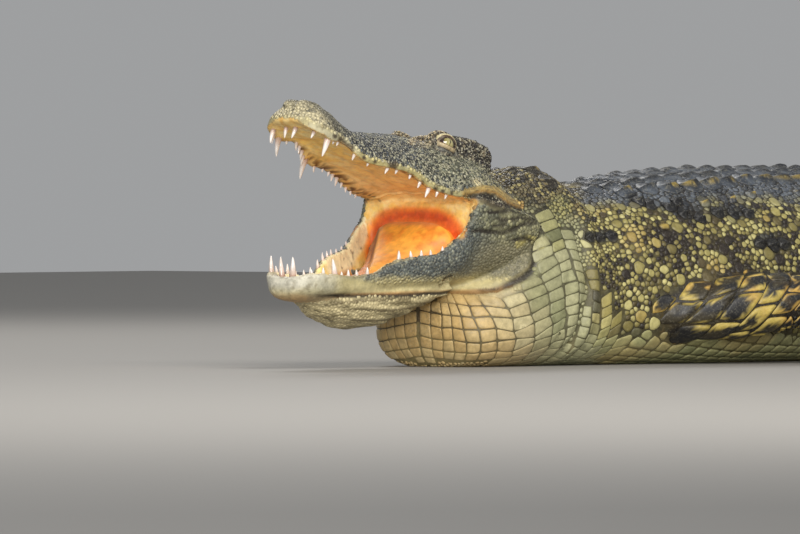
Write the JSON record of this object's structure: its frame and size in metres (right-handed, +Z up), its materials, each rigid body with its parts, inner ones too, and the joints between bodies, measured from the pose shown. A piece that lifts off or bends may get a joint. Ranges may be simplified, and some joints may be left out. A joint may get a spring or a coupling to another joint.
{
  "type": "crocodile",
  "caption": "Life-size still model of a crocodile resting on its belly with its jaws agape, for display on a floor.",
  "frame": {"origin": "on the floor, in the flat on the underside of the trunk, midway between the shoulders and the hips", "axes": "+X from the head toward the tail, +Y toward the animal's right side, +Z up"},
  "size_m": [2.9893, 1.0126, 0.3942],
  "materials": {
    "head_skin": "fine mottled grey-green and cream skin on bone",
    "jaw_skin": "blue-grey mottling above, smooth cream-yellow below",
    "mouth_lining": "moist orange-yellow lining",
    "body_skin": "horny scales, yellow on black, dark keeled plates above, cream plates below",
    "tail_skin": "rings of square horny scales with an upright crest",
    "leg_skin": "black scales with yellow edges",
    "eye": "wet olive-yellow eye with an upright slit pupil",
    "claw": "dark horn"
  },
  "bodies": {
    "root": {"head": "head_skin", "lower_jaw": "jaw_skin", "tongue": "mouth_lining", "eye_left": "eye", "eye_right": "eye", "neck": "body_skin", "trunk_front": "body_skin", "trunk_rear": "body_skin", "tail_1": "tail_skin", "tail_2": "tail_skin", "tail_3": "tail_skin", "tail_4": "tail_skin", "foreleg_left_upper": "leg_skin", "foreleg_left_lower": "leg_skin", "forefoot_left": "leg_skin", "claw_fore_left_1": "claw", "claw_fore_left_2": "claw", "claw_fore_left_3": "claw", "hindleg_left_upper": "leg_skin", "hindleg_left_lower": "leg_skin", "hindfoot_left": "leg_skin", "claw_hind_left_1": "claw", "claw_hind_left_2": "claw", "claw_hind_left_3": "claw", "foreleg_right_upper": "leg_skin", "foreleg_right_lower": "leg_skin", "forefoot_right": "leg_skin", "claw_fore_right_1": "claw", "claw_fore_right_2": "claw", "claw_fore_right_3": "claw", "hindleg_right_upper": "leg_skin", "hindleg_right_lower": "leg_skin", "hindfoot_right": "leg_skin", "claw_hind_right_1": "claw", "claw_hind_right_2": "claw", "claw_hind_right_3": "claw"}
  },
  "joints": []
}
